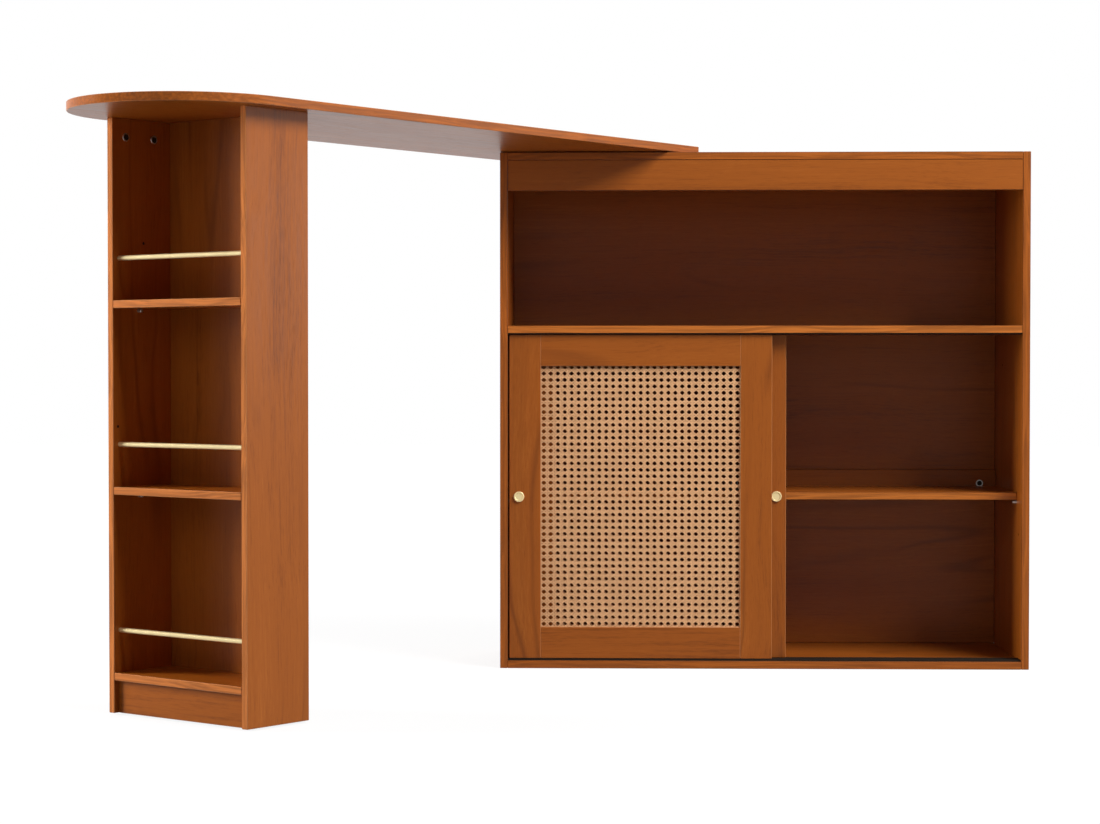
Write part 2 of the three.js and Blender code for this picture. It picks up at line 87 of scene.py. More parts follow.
# Boards whose front edges are banded in a paler strip than the carcass
PALE_EDGED = (
    "middle_shelf",
    "left_inner_shelf",
    "right_inner_shelf",
    "tower_left_side",
    "tower_right_side",
    "tower_bottom_shelf",
    "tower_lower_shelf",
    "tower_upper_shelf",
)

BRASS = ("guard_rod_lower", "guard_rod_middle", "guard_rod_upper", "front_door_pull", "rear_door_pull")
RUBBER = ("left_roller_wheel", "right_roller_wheel")
PLASTIC_ENDS = ("_track", "_glide", "_top_guide", "_washer")
AXES = {"X": (1, 0, 0), "Y": (0, 1, 0), "Z": (0, 0, 1)}
ORDER = {"X": "XYZ", "Y": "YXZ", "Z": "ZXY"}

# Wood grain: cells per metre along the grain and in both directions across it, for each of its layers
SWAY_CELLS = (2.2, 4.0, 4.0)
FIGURE_CELLS = (0.55, 6.0, 6.0)
BROAD_CELLS = (0.9, 13.0, 13.0)
FIBRE_CELLS = (4.0, 230.0, 230.0)
SPECK_CELLS = (55.0, 480.0, 480.0)
PORE_CELLS = (22.0, 820.0, 820.0)
NOISE_ROUGHNESS = 0.55
# How far the fibres sway, in metres, and how far one board's grain lies from the next one's
SWAY = 0.05
SEED_SPREAD = 37.0
SEED_JUMP = (17.3, 5.9)
# Growth rings, and the stretch of broad noise over which they come to show
RING_COUNT = 58.0
RING_SHARPNESS = 9.0
RING_STRENGTH = 0.60
RING_RAMP = (0.47, 0.62)
# Pores: where they start and end in their noise, and what they do to colour, roughness and height
PORE_RAMP = (0.60, 0.72)
PORE_STRENGTH = 0.35
PORE_ROUGHNESS = 0.10
PORE_HEIGHT = -0.8
# Share of each layer in the tone, and the tones that run from dark to base and from base to light
BROAD_SHARE = 0.75
FIBRE_SHARE = 0.55
SPECK_SHARE = 0.30
DARK_TONES = (0.12, 0.50)
LIGHT_TONES = (0.50, 0.90)
FIBRE_ROUGHNESS = 0.22
GRAIN_BUMP = {"Strength": 0.12, "Distance": 0.0004}

# Board edges, from the cosine between a face and the board's thin direction: band below the limit, eased
# corner within the reach of the middle
BAND_LIMIT = 0.9
EASE_MIDDLE = 0.6
EASE_REACH = 0.28
# Tone and stretch of the band's dark streaks, and how far eased corners take painted seam shade (cabinet boards)
# and painted edge highlight (all other boards)
BAND_DARK = 0.55
BAND_STREAKS = (0.34, 0.68)
SEAM_SHADE_SHARE = 0.7
EDGE_HIGHLIGHT_SHARE = 0.45

# Metal, plastic and rubber: cells of their handling marks per metre, and their finish
BRASS_MARKS = (260.0, 260.0, 260.0)
STEEL_MARKS = (300.0, 300.0, 900.0)
PLASTIC_MARKS = (900.0, 900.0, 900.0)
SMEAR_CELLS = 38.0
SMEAR_SHARE = 0.8
MARK_SPREAD = 0.25
METAL_DARK = 0.88
PLASTIC_LIGHT = 1.9
PLASTIC_LIFT = 0.004
BRASS_METALLIC = 0.6
STEEL_METALLIC = 0.9
STEEL_ROUGHNESS = 0.34
PLASTIC_ROUGHNESS = 0.6
PLASTIC_GLOSS = 0.12
RUBBER_ROUGHNESS = 0.75
RUBBER_GLOSS = 0.3
METAL_BUMP = {"Strength": 0.04, "Distance": 0.0002}
PLASTIC_BUMP = {"Strength": 0.15, "Distance": 0.0002}
# Share of the handling marks that shows in the roughness of polished metal
METAL_MARKS = 0.15

# Cane: the crown of a strand, its stray waves in radians per metre, the tones and the finish
WEAVE_SEED = 11
STRAND_CROWN = 0.00022
STRAY_RATE = 21.0
PHASE_SPAN = 6.28
STRAIGHT_TONES = (0.40, 0.62)
SLANT_TONES = (0.44, 0.68)
SLANT_DEPTH = 2.5
CANE_DARK = (0.62, 0.55, 0.46)
CANE_LIGHT = (1.22, 1.28, 1.38)
CANE_ROUGHNESS = 0.52
CANE_STREAK_CELLS = 420.0
CANE_STREAK_SHARE = 0.32
CANE_PATCH_CELLS = 14.0
CANE_PATCH_SHARE = 0.22
CANE_BUMP = {"Strength": 0.2, "Distance": 0.0003}

# Joining and smoothing of the CAD nodes' faces
WELD_GAP = 1e-5
CRISP_ANGLE = math.radians(28)
TURNED_CRISP_ANGLE = math.radians(35)

# Small fittings: depth below the board's face, and heights above it, in metres
CAM_SUNK = 0.001
CAM_WALL = 0.0002
CAM_RIM = 0.0006
CAM_BEVEL = 0.0005
CAM_WELL_FLOOR = 0.0001
CAM_WELL_SHARE = 0.7
HOLE_SUNK = 0.0005
HOLE_LIFT = 0.00008
PIN_SUNK = 0.001
PIN_BEVEL = 0.0008
CAM_STEPS = 32
PIN_STEPS = 20

# Their places: inset from a rail's ends, depth and height on the cabinet's right side, and on the tower the
# distance along the bar from the swivel and the height
RAIL_CAM_INSET = 0.034
SIDE_HOLES = ((0.0723, 0.5992), (-0.1356, 0.2636))
TOWER_INNER_HALF = 0.154
TOWER_CAMS_ALONG = (-1.1087, -1.0443)
TOWER_CAM_HEIGHT = 0.9875
TOWER_PIN_ALONG = -1.0816
TOWER_HOLES = ((-1.0695, 0.8076), (-1.1293, 0.4930))

# Share and level of plain white in the floor near the object; the rest takes light and shadow
FLOOR_WHITE = 0.85
FLOOR_LEVEL = 1.02
# Gap below the object and half the width, in metres, then the colours in bounced light and under the white
FLOOR_GAP = 0.0002
FLOOR_REACH = 14.0
FLOOR_BOUNCE = (0.27, 0.265, 0.26, 1.0)
FLOOR_SHADED = (0.9, 0.9, 0.9, 1.0)
FLOOR_ROUGHNESS = 0.85
# Distances from the origin between which the floor turns plain white
FLOOR_FADE = (1.3, 2.4)
WHITE = (1.0, 1.0, 1.0, 1.0)

# What reflections see: the level in front, and how much and over which stretch of Y it grows to the back
MIRROR_FRONT = 0.75
FLOOR_MIRROR_GAIN = 0.25
FLOOR_MIRROR_SPAN = (-1.5, 2.0)
WORLD_MIRROR_GAIN = 0.32
WORLD_MIRROR_SPAN = (-0.5, 0.6)

SENSOR_WIDTH = 36.0

# Soft boxes: name, place, what it is aimed at, width and height in metres, and whether it shows in gloss
SOFT_BOXES = (
    ("Key", (2.9, -2.7, 4.1), (-0.2, -0.3, 0.5), (3.1, 2.4), True),
    ("Front", (-3.2, -3.6, 2.2), (-0.9, -0.9, 0.5), (2.0, 2.0), False),
    ("Fill", (-4.2, -0.65, 1.4), (-0.9, -0.9, 0.5), (1.0, 2.0), False),
    ("Side", (3.6, -0.35, 1.05), (-0.8, -0.9, 0.85), (1.6, 0.7), True),
    ("Back", (0.6, 4.2, 2.4), (-0.1, 0.0, 0.5), (2.4, 1.6), False),
)


class BoardSettings(bpy.types.PropertyGroup):
    """Look of the wood-grain boards"""

    dark: bpy.props.FloatVectorProperty(
        name="Dark grain",
        description="Colour of the dark streaks",
        subtype="COLOR",
        default=(0.165, 0.038, 0.0038),
    )
    base: bpy.props.FloatVectorProperty(
        name="Base", description="Colour of the even grain", subtype="COLOR", default=(0.325, 0.085, 0.0090)
    )
    light: bpy.props.FloatVectorProperty(
        name="Light grain",
        description="Colour of the light streaks",
        subtype="COLOR",
        default=(0.425, 0.124, 0.018),
    )
    edge: bpy.props.FloatVectorProperty(
        name="Edge band",
        description="Colour of the edge banding",
        subtype="COLOR",
        default=(0.430, 0.112, 0.014),
    )
    pale_edge: bpy.props.FloatVectorProperty(
        name="Pale edge band",
        description="Colour of the shelves' edge banding",
        subtype="COLOR",
        default=(0.62, 0.187, 0.030),
    )
    # Painted light: a paler, lighter copy of the shelves' banding for the tower's boards, standing for the
    # stronger light on the tower's front edges
    lit_tower_edge: bpy.props.FloatVectorProperty(
        name="Tower edge band, painted lighter",
        description="Colour of the edge banding on the tower's boards",
        subtype="COLOR",
        default=(0.66, 0.212, 0.052),
    )
    # Painted shade: dark colour on the eased corners of cabinet boards, standing for the shade in the V-grooves of
    # flush seams
    seam: bpy.props.FloatVectorProperty(
        name="Seam",
        description="Colour of eased edges in flush seams",
        subtype="COLOR",
        default=(0.09, 0.022, 0.005),
    )
    # Painted highlight: lighter colour on the eased corners of doors, tower and bar, standing for the light caught
    # along their edges
    edge_highlight: bpy.props.FloatVectorProperty(
        name="Painted edge highlight",
        description="Colour of eased edges that stand free",
        subtype="COLOR",
        default=(0.60, 0.27, 0.11),
    )
    edge_share: bpy.props.FloatProperty(
        name="Edge share",
        description="How far a board's edge takes the banding's colour",
        subtype="FACTOR",
        default=0.75,
    )
    roughness: bpy.props.FloatProperty(
        name="Roughness", description="Mean roughness of the satin surface", subtype="FACTOR", default=0.33
    )
    gloss: bpy.props.FloatProperty(
        name="Gloss", description="Strength of the lacquer's reflection", subtype="FACTOR", default=0.22
    )


class CaneSettings(bpy.types.PropertyGroup):
    """Woven cane panels"""

    pitch_x: bpy.props.FloatProperty(
        name="Pitch across", description="Hole pitch across the panel", unit="LENGTH", default=0.01365
    )
    pitch_z: bpy.props.FloatProperty(
        name="Pitch up", description="Hole pitch up the panel", unit="LENGTH", default=0.01270
    )
    row_offset: bpy.props.FloatProperty(
        name="Row offset",
        description="Height of a hole row above the panel's middle",
        unit="LENGTH",
        default=0.0019,
    )
    strand: bpy.props.FloatProperty(
        name="Strand", description="Width of an upright or level strand", unit="LENGTH", default=0.0021
    )
    diagonal: bpy.props.FloatProperty(
        name="Diagonal strand", description="Width of a slanted strand", unit="LENGTH", default=0.0018
    )
    spread: bpy.props.FloatProperty(
        name="Pair spread",
        description="Half the distance between the strands of a pair",
        unit="LENGTH",
        default=0.0013,
    )
    wave: bpy.props.FloatProperty(
        name="Weave depth", description="Half the over-and-under depth", unit="LENGTH", default=0.00028
    )
    wander: bpy.props.FloatProperty(
        name="Wander", description="How far a strand strays from its line", unit="LENGTH", default=0.0002
    )
    tuck: bpy.props.FloatProperty(
        name="Tuck", description="Sheet edge left bare inside the groove", unit="LENGTH", default=0.0012
    )
    tint: bpy.props.FloatVectorProperty(
        name="Cane", description="Colour of the cane", subtype="COLOR", default=(0.80, 0.435, 0.205)
    )


class MetalSettings(bpy.types.PropertyGroup):
    """Brass, steel and plastic"""

    brass: bpy.props.FloatVectorProperty(
        name="Brass", description="Colour of the brass", subtype="COLOR", default=(0.98, 0.79, 0.42)
    )
    brass_roughness: bpy.props.FloatProperty(
        name="Brass roughness", description="Roughness of the brushed brass", subtype="FACTOR", default=0.30
    )
    steel: bpy.props.FloatVectorProperty(
        name="Steel", description="Colour of the plated steel", subtype="COLOR", default=(0.56, 0.55, 0.53)
    )
    plastic: bpy.props.FloatVectorProperty(
        name="Plastic",
        description="Colour of the black plastic",
        subtype="COLOR",
        default=(0.010, 0.007, 0.005),
    )
    rubber: bpy.props.FloatVectorProperty(
        name="Rubber",
        description="Colour of the roller tyres",
        subtype="COLOR",
        default=(0.055, 0.055, 0.058),
    )


class FittingSettings(bpy.types.PropertyGroup):
    """Cam locks, shelf pins and pin holes"""

    cam_radius: bpy.props.FloatProperty(
        name="Cam radius", description="Radius of a cam lock's head", unit="LENGTH", default=0.0075
    )
    hole_radius: bpy.props.FloatProperty(
        # Radius of the black disc of painted shade that marks a pin hole
        name="Hole radius", description="Radius of a pin hole", unit="LENGTH", default=0.0025
    )
    pin_radius: bpy.props.FloatProperty(
        name="Pin radius", description="Radius of a tower shelf pin", unit="LENGTH", default=0.0035
    )
    pin_length: bpy.props.FloatProperty(
        name="Pin length", description="Free length of a tower shelf pin", unit="LENGTH", default=0.009
    )


class StageSettings(bpy.types.PropertyGroup):
    """Camera, lights and floor"""

    camera_place: bpy.props.FloatVectorProperty(
        name="Camera",
        description="Camera's place",
        subtype="TRANSLATION",
        default=(-0.31698, -5.1265, 0.59213),
    )
    camera_turn: bpy.props.FloatVectorProperty(
        name="Camera turn",
        description="Pitch, roll and yaw",
        subtype="EULER",
        default=(-0.02246, 0.0, 0.02683),
    )
    lens: bpy.props.FloatProperty(
        name="Lens", description="Focal length in millimetres", default=82.246
    )
    shift: bpy.props.FloatVectorProperty(
        name="Shift", description="Lens shift across and up", size=2, default=(0.01308, 0.01175)
    )
    ambient: bpy.props.FloatProperty(
        name="Ambient", description="Strength of the even light from all sides", default=0.04
    )
    key_power: bpy.props.FloatProperty(
        name="Key power", description="Power of the high soft box at the right", unit="POWER", default=378.0
    )
    front_power: bpy.props.FloatProperty(
        name="Front power", description="Power of the soft box at the front left", unit="POWER", default=18.0
    )
    fill_power: bpy.props.FloatProperty(
        name="Fill power", description="Power of the soft box at the left", unit="POWER", default=184.0
    )
    side_power: bpy.props.FloatProperty(
        name="Side power", description="Power of the low soft box at the right", unit="POWER", default=13.6
    )
    back_power: bpy.props.FloatProperty(
        name="Back power", description="Power of the soft box behind", unit="POWER", default=150.0
    )


def add_node(tree, kind, inputs=None, **settings):
    """Adds a node, sets its properties, and links or sets its inputs"""
    made = tree.nodes.new(kind)
    for name, value in settings.items():
        setattr(made, name, value)
    for name, value in (inputs or {}).items():
        if isinstance(value, bpy.types.NodeSocket):
            tree.links.new(value, made.inputs[name])
        else:
            made.inputs[name].default_value = value
    return made


def math_node(tree, operation, *values):
    return add_node(tree, "ShaderNodeMath", dict(enumerate(values)), operation=operation).outputs[0]


def vector_node(tree, operation, *values):
    made = add_node(tree, "ShaderNodeVectorMath", dict(enumerate(values)), operation=operation)
    return made.outputs["Value"] if operation in ("DOT_PRODUCT", "LENGTH") else made.outputs["Vector"]


def mix_colour(tree, factor, first, second):
    """Mix of two colours, whose sockets have the numbers 6 and 7"""
    return add_node(tree, "ShaderNodeMix", {0: factor, 6: first, 7: second}, data_type="RGBA").outputs[2]


def rgba(colour):
    return (colour[0], colour[1], colour[2], 1.0)


def new_group(name, inputs, outputs):
    tree = bpy.data.node_groups.new(name, "ShaderNodeTree")
    for label, kind, default in inputs:
        socket = tree.interface.new_socket(name=label, in_out="INPUT", socket_type=kind)
        socket.default_value = default
    for label, kind in outputs:
        tree.interface.new_socket(name=label, in_out="OUTPUT", socket_type=kind)
    return tree, tree.nodes.new("NodeGroupInput"), tree.nodes.new("NodeGroupOutput")


def noise_node(tree, vector, scale, detail):
    inputs = {"Vector": vector, "Scale": scale, "Detail": detail}
    return add_node(tree, "ShaderNodeTexNoise", inputs).outputs["Fac"]


def stretched_noise(tree, vector, cells, detail):
    """Noise with its own number of cells per metre along each axis"""
    spread = vector_node(tree, "MULTIPLY", vector, cells)
    inputs = {"Vector": spread, "Scale": 1.0, "Detail": detail, "Roughness": NOISE_ROUGHNESS}
    return add_node(tree, "ShaderNodeTexNoise", inputs).outputs["Fac"]


def around_zero(tree, value):
    """Noise about 0.5 moved to lie about 0"""
    return math_node(tree, "SUBTRACT", value, 0.5)


def ramp(tree, value, low, high):
    """Smooth step from 0 at low to 1 at high"""
    inputs = {"Value": value, "From Min": low, "From Max": high}
    return add_node(tree, "ShaderNodeMapRange", inputs, interpolation_type="SMOOTHSTEP").outputs[0]


def grain_group():
    """Wood grain along the first axis: colour, roughness offset and height"""
    found = bpy.data.node_groups.get("Wood Grain")
    if found:
        return found
    tree, source, sink = new_group(
        "Wood Grain",
        [
            ("Vector", "NodeSocketVector", (0.0, 0.0, 0.0)),
            ("Seed", "NodeSocketFloat", 0.0),
            ("Dark", "NodeSocketColor", (0.1, 0.03, 0.01, 1.0)),
            ("Base", "NodeSocketColor", (0.3, 0.09, 0.02, 1.0)),
            ("Light", "NodeSocketColor", (0.4, 0.13, 0.03, 1.0)),
        ],
        [
            ("Color", "NodeSocketColor"),
            ("Fibre", "NodeSocketFloat"),
            ("Roughness", "NodeSocketFloat"),
            ("Height", "NodeSocketFloat"),
        ],
    )
    seed = source.outputs["Seed"]
    jumps = {index: math_node(tree, "MULTIPLY", seed, share) for index, share in enumerate(SEED_JUMP)}
    jump = add_node(tree, "ShaderNodeCombineXYZ", {**jumps, 2: seed}).outputs[0]
    place = vector_node(tree, "ADD", source.outputs["Vector"], jump)
    bend = around_zero(tree, stretched_noise(tree, place, SWAY_CELLS, 2.0))
    sway = math_node(tree, "MULTIPLY", bend, SWAY)
    swayed = add_node(tree, "ShaderNodeCombineXYZ", {1: sway, 2: sway}).outputs[0]
    warped = vector_node(tree, "ADD", place, swayed)
    figure = stretched_noise(tree, warped, FIGURE_CELLS, 1.0)
    rings = math_node(tree, "SINE", math_node(tree, "MULTIPLY", figure, RING_COUNT))
    rings = math_node(tree, "MULTIPLY_ADD", rings, 0.5, 0.5)
    rings = math_node(tree, "POWER", rings, RING_SHARPNESS)
    broad = stretched_noise(tree, warped, BROAD_CELLS, 2.0)
    shown = ramp(tree, broad, *RING_RAMP)
    fibre = stretched_noise(tree, warped, FIBRE_CELLS, 3.0)
    speck = stretched_noise(tree, place, SPECK_CELLS, 2.0)
    pores = stretched_noise(tree, warped, PORE_CELLS, 1.0)
    pore = ramp(tree, pores, *PORE_RAMP)
    tone = math_node(tree, "MULTIPLY_ADD", around_zero(tree, broad), BROAD_SHARE, 0.5)
    tone = math_node(tree, "MULTIPLY_ADD", around_zero(tree, fibre), FIBRE_SHARE, tone)
    tone = math_node(tree, "MULTIPLY_ADD", around_zero(tree, speck), SPECK_SHARE, tone)
    dark, base, light = source.outputs["Dark"], source.outputs["Base"], source.outputs["Light"]
    dark_base = mix_colour(tree, ramp(tree, tone, *DARK_TONES), dark, base)
    full = mix_colour(tree, ramp(tree, tone, *LIGHT_TONES), dark_base, light)
    line = math_node(tree, "MULTIPLY", math_node(tree, "MULTIPLY", rings, shown), RING_STRENGTH)
    lined = mix_colour(tree, line, full, dark)
    pitted = mix_colour(tree, math_node(tree, "MULTIPLY", pore, PORE_STRENGTH), lined, dark)
    tree.links.new(pitted, sink.inputs["Color"])
    tree.links.new(fibre, sink.inputs["Fibre"])
    spread = math_node(tree, "MULTIPLY", around_zero(tree, fibre), FIBRE_ROUGHNESS)
    tree.links.new(math_node(tree, "MULTIPLY_ADD", pore, PORE_ROUGHNESS, spread), sink.inputs["Roughness"])
    tree.links.new(math_node(tree, "MULTIPLY_ADD", pore, PORE_HEIGHT, fibre), sink.inputs["Height"])
    return tree


def edge_group():
    """Masks from the angle between a face and the board's thin direction: edge band and eased corner"""
    found = bpy.data.node_groups.get("Board Edge")
    if found:
        return found
    tree, source, sink = new_group(
        "Board Edge",
        [("Normal", "NodeSocketVector", (0.0, 0.0, 1.0)), ("Thin", "NodeSocketVector", (0.0, 0.0, 1.0))],
        [("Band", "NodeSocketFloat"), ("Ease", "NodeSocketFloat")],
    )
    along = vector_node(tree, "DOT_PRODUCT", source.outputs["Normal"], source.outputs["Thin"])
    along = math_node(tree, "ABSOLUTE", along)
    tree.links.new(math_node(tree, "LESS_THAN", along, BAND_LIMIT), sink.inputs["Band"])
    eased = math_node(tree, "COMPARE", along, EASE_MIDDLE, EASE_REACH)
    tree.links.new(eased, sink.inputs["Ease"])
    return tree


def brush_group():
    """Fine brushing and handling marks: roughness offset, tone and height"""
    found = bpy.data.node_groups.get("Brushed Marks")
    if found:
        return found
    tree, source, sink = new_group(
        "Brushed Marks",
        [
            ("Vector", "NodeSocketVector", (0.0, 0.0, 0.0)),
            ("Scale", "NodeSocketVector", (60.0, 60.0, 2500.0)),
        ],
        [("Roughness", "NodeSocketFloat"), ("Tone", "NodeSocketFloat"), ("Height", "NodeSocketFloat")],
    )
    lines = vector_node(tree, "MULTIPLY", source.outputs["Vector"], source.outputs["Scale"])
    brushed = noise_node(tree, lines, 1.0, 2.0)
    smear = noise_node(tree, source.outputs["Vector"], SMEAR_CELLS, 3.0)
    both = math_node(tree, "MULTIPLY_ADD", around_zero(tree, smear), SMEAR_SHARE, brushed)
    offset = math_node(tree, "MULTIPLY", around_zero(tree, both), MARK_SPREAD)
    tree.links.new(offset, sink.inputs["Roughness"])
    tree.links.new(smear, sink.inputs["Tone"])
    tree.links.new(brushed, sink.inputs["Height"])
    return tree


def new_material(name):
    material = bpy.data.materials.new(name)
    material.use_nodes = True
    tree = material.node_tree
    tree.nodes.clear()
    out = tree.nodes.new("ShaderNodeOutputMaterial")
    shader = tree.nodes.new("ShaderNodeBsdfPrincipled")
    tree.links.new(shader.outputs[0], out.inputs[0])
    return material, tree, shader


def use_group(tree, group, inputs):
    return add_node(tree, "ShaderNodeGroup", inputs, node_tree=group)


def bar_angle():
    """Turn of the bar about Z at rest, from the mean direction of the two roller axles"""
    axles = [joint["axis"] for joint in frame["joints"] if joint["name"].endswith("wheel_spin")]
    return sum(math.atan2(axle[1], axle[0]) for axle in axles) / len(axles)


def swivel_place():
    for joint in frame["joints"]:
        if joint["name"] == "bar_swivel":
            return Vector(joint["pos_m"])
    raise ValueError("the frame has no bar_swivel joint")


def board_material(settings, grain, thin, body, pale):
    turned = body == "bar"
    name = f"Board {grain}{thin} {body}{' pale edged' if pale else ''}"
    found = bpy.data.materials.get(name)
    if found:
        return found
    material, tree, shader = new_material(name)
    coords = tree.nodes.new("ShaderNodeTexCoord")
    place, normal = coords.outputs["Object"], coords.outputs["Normal"]
    if turned:
        turn = (0.0, 0.0, -bar_angle())
        place = add_node(tree, "ShaderNodeMapping", {"Vector": place, "Rotation": turn}).outputs[0]
        normal = add_node(
            tree, "ShaderNodeMapping", {"Vector": normal, "Rotation": turn}, vector_type="NORMAL"
        ).outputs[0]
    parts = add_node(tree, "ShaderNodeSeparateXYZ", {0: place})
    along = add_node(
        tree, "ShaderNodeCombineXYZ", {index: parts.outputs[axis] for index, axis in enumerate(ORDER[grain])}
    ).outputs[0]
    seed = math_node(tree, "MULTIPLY", tree.nodes.new("ShaderNodeObjectInfo").outputs["Random"], SEED_SPREAD)
    wood = use_group(
        tree,
        grain_group(),
        {
            "Vector": along,
            "Seed": seed,
            "Dark": rgba(settings.dark),
            "Base": rgba(settings.base),
            "Light": rgba(settings.light),
        },
    )
    edge = use_group(tree, edge_group(), {"Normal": normal, "Thin": AXES[thin]})
    band = math_node(tree, "MULTIPLY", edge.outputs["Band"], settings.edge_share)
    streak = ramp(tree, wood.outputs["Fibre"], *BAND_STREAKS)
    band_colour = settings.edge
    if pale:
        # The tower's boards take the lighter banding, which is painted light
        band_colour = settings.lit_tower_edge if turned else settings.pale_edge
    banding = mix_colour(tree, streak, rgba([BAND_DARK * value for value in band_colour]), rgba(band_colour))
    banded = mix_colour(tree, band, wood.outputs["Color"], banding)
    # Eased corners get painted seam shade on cabinet boards and a painted edge highlight on all other boards
    corner, share = (settings.seam, SEAM_SHADE_SHARE) if body == "cabinet" else (settings.edge_highlight, EDGE_HIGHLIGHT_SHARE)
    eased = mix_colour(tree, math_node(tree, "MULTIPLY", edge.outputs["Ease"], share), banded, rgba(corner))
    tree.links.new(eased, shader.inputs["Base Color"])
    rough = math_node(tree, "ADD", wood.outputs["Roughness"], settings.roughness)
    tree.links.new(rough, shader.inputs["Roughness"])
    shader.inputs["Specular IOR Level"].default_value = settings.gloss
    bump = add_node(tree, "ShaderNodeBump", {**GRAIN_BUMP, "Height": wood.outputs["Height"]})
    tree.links.new(bump.outputs[0], shader.inputs["Normal"])
    return material


def metal_material(name, colour, roughness, scale, metallic):
    found = bpy.data.materials.get(name)
    if found:
        return found
    material, tree, shader = new_material(name)
    coords = tree.nodes.new("ShaderNodeTexCoord")
    marks = use_group(tree, brush_group(), {"Vector": coords.outputs["Object"], "Scale": scale})
    darker = tuple(METAL_DARK * value for value in colour)
    tinted = mix_colour(tree, marks.outputs["Tone"], rgba(darker), rgba(colour))
    tree.links.new(tinted, shader.inputs["Base Color"])
    shader.inputs["Metallic"].default_value = metallic
    rough = math_node(tree, "MULTIPLY_ADD", marks.outputs["Roughness"], METAL_MARKS, roughness)
    tree.links.new(rough, shader.inputs["Roughness"])
    bump = add_node(tree, "ShaderNodeBump", {**METAL_BUMP, "Height": marks.outputs["Height"]})
    tree.links.new(bump.outputs[0], shader.inputs["Normal"])
    return material


def plastic_material(name, colour, roughness, gloss):
    found = bpy.data.materials.get(name)
    if found:
        return found
    material, tree, shader = new_material(name)
    coords = tree.nodes.new("ShaderNodeTexCoord")
    marks = use_group(tree, brush_group(), {"Vector": coords.outputs["Object"], "Scale": PLASTIC_MARKS})
    shader.inputs["Specular IOR Level"].default_value = gloss
    lighter = tuple(min(1.0, PLASTIC_LIGHT * value + PLASTIC_LIFT) for value in colour)
    tinted = mix_colour(tree, marks.outputs["Tone"], rgba(colour), rgba(lighter))
    tree.links.new(tinted, shader.inputs["Base Color"])
    rough = math_node(tree, "ADD", marks.outputs["Roughness"], roughness)
    tree.links.new(rough, shader.inputs["Roughness"])
    bump = add_node(tree, "ShaderNodeBump", {**PLASTIC_BUMP, "Height": marks.outputs["Height"]})
    tree.links.new(bump.outputs[0], shader.inputs["Normal"])
    return material


def cane_material(settings):
    material, tree, shader = new_material("Cane")
    coords = tree.nodes.new("ShaderNodeTexCoord")
    tone = add_node(tree, "ShaderNodeAttribute", attribute_name="tone").outputs["Fac"]
    streak = noise_node(tree, coords.outputs["Object"], CANE_STREAK_CELLS, 3.0)
    patch = noise_node(tree, coords.outputs["Object"], CANE_PATCH_CELLS, 2.0)
    mixed = math_node(tree, "MULTIPLY_ADD", around_zero(tree, streak), CANE_STREAK_SHARE, tone)
    mixed = math_node(tree, "MULTIPLY_ADD", around_zero(tree, patch), CANE_PATCH_SHARE, mixed)
    dark = rgba([value * share for value, share in zip(settings.tint, CANE_DARK)])
    light = rgba([min(1.0, value * share) for value, share in zip(settings.tint, CANE_LIGHT)])
    tree.links.new(mix_colour(tree, mixed, dark, light), shader.inputs["Base Color"])
    shader.inputs["Roughness"].default_value = CANE_ROUGHNESS
    bump = add_node(tree, "ShaderNodeBump", {**CANE_BUMP, "Height": streak})
    tree.links.new(bump.outputs[0], shader.inputs["Normal"])
    return material


def set_material(obj, material):
    obj.data.materials.clear()
    obj.data.materials.append(material)


def soften(obj):
    """Smooth shading over the round faces of a CAD node, with its sharp edges kept"""
    stale = obj.data.attributes.get("custom_normal")
    if stale:
        obj.data.attributes.remove(stale)
    obj.data.shade_smooth()
    weld = obj.modifiers.new("Join", "WELD")
    weld.merge_threshold = WELD_GAP
    split = obj.modifiers.new("Crisp", "EDGE_SPLIT")
    split.split_angle = CRISP_ANGLE


def body_of(node):
    for body, members in frame["record"]["behaviour"]["bodies"].items():
        if node in members:
            return body
    raise ValueError(f"no body holds {node}")


class COUNTER_OT_finish_boards(bpy.types.Operator):
    """Give every board its wood grain, running the right way, and its edge banding"""

    bl_idname = "counter.finish_boards"
    bl_label = "Finish Boards"

    def execute(self, context):
        settings = context.scene.counter_boards
        for name, (grain, thin) in BOARDS.items():
            node = frame["nodes"][name]
            set_material(node, board_material(settings, grain, thin, body_of(name), name in PALE_EDGED))
            soften(node)
        return {"FINISHED"}


class COUNTER_OT_finish_fittings(bpy.types.Operator):
    """Give the rods, pulls, pins, swivel, rollers, tracks and glides their metal, plastic or rubber"""

    bl_idname = "counter.finish_fittings"
    bl_label = "Finish Metal and Plastic"

    def execute(self, context):
        settings = context.scene.counter_metal
        brass = metal_material(
            "Brushed Brass", settings.brass, settings.brass_roughness, BRASS_MARKS, BRASS_METALLIC
        )
        steel = metal_material("Plated Steel", settings.steel, STEEL_ROUGHNESS, STEEL_MARKS, STEEL_METALLIC)
        plastic = plastic_material("Black Plastic", settings.plastic, PLASTIC_ROUGHNESS, PLASTIC_GLOSS)
        rubber = plastic_material("Roller Rubber", settings.rubber, RUBBER_ROUGHNESS, RUBBER_GLOSS)
        for name, node in frame["nodes"].items():
            if name in BOARDS or name.endswith("_cane"):
                continue
            material = steel
            if name in BRASS:
                material = brass
            elif name in RUBBER:
                material = rubber
            elif name.endswith(PLASTIC_ENDS):
                material = plastic
            set_material(node, material)
            soften(node)
        return {"FINISHED"}


def add_strand(points, across, half, tone, verts, faces, tones):
    """Adds one arched ribbon through the points, facing -Y"""
    first = len(verts)
    for point in points:
        verts.append(point - across * half)
        verts.append(point + Vector((0.0, -STRAND_CROWN, 0.0)))
        verts.append(point + across * half)
    for row in range(len(points) - 1):
        base = first + 3 * row
        for side in (0, 1):
            faces.append((base + side, base + side + 1, base + side + 4, base + side + 3))
            tones.append(tone)


